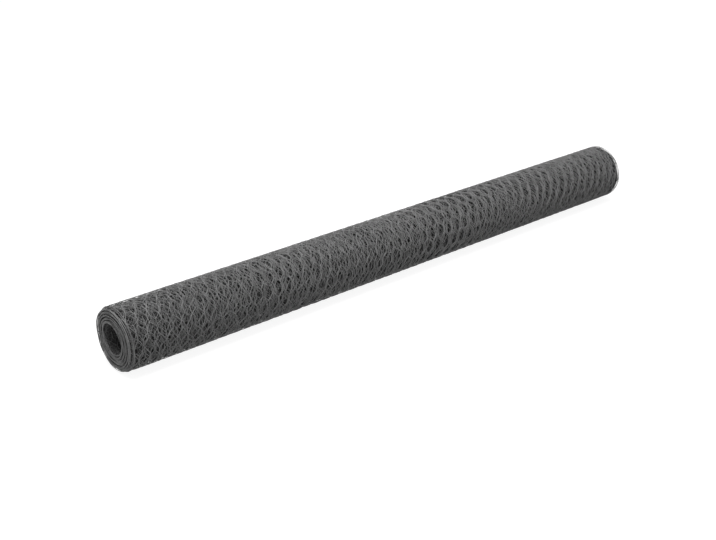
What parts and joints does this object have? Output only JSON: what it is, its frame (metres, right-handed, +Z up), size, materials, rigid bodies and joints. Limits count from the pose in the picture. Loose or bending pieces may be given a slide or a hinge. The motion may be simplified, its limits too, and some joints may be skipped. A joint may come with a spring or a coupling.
{
  "type": "roll of chicken wire",
  "caption": "Long roll of hexagonal wire netting wound round an open bore, its selvedge turns showing on both ends; fencing stock that is unrolled and cut to length.",
  "frame": {"origin": "on the floor, under the middle of the roll as it lies", "axes": "+X along the roll's axis, +Z up"},
  "size_m": [1.5, 0.1372, 0.1372],
  "materials": {
    "coated_wire": "matt grey plastic coating on galvanised steel wire"
  },
  "bodies": {
    "root": {"wire_roll": "coated_wire"}
  },
  "joints": []
}
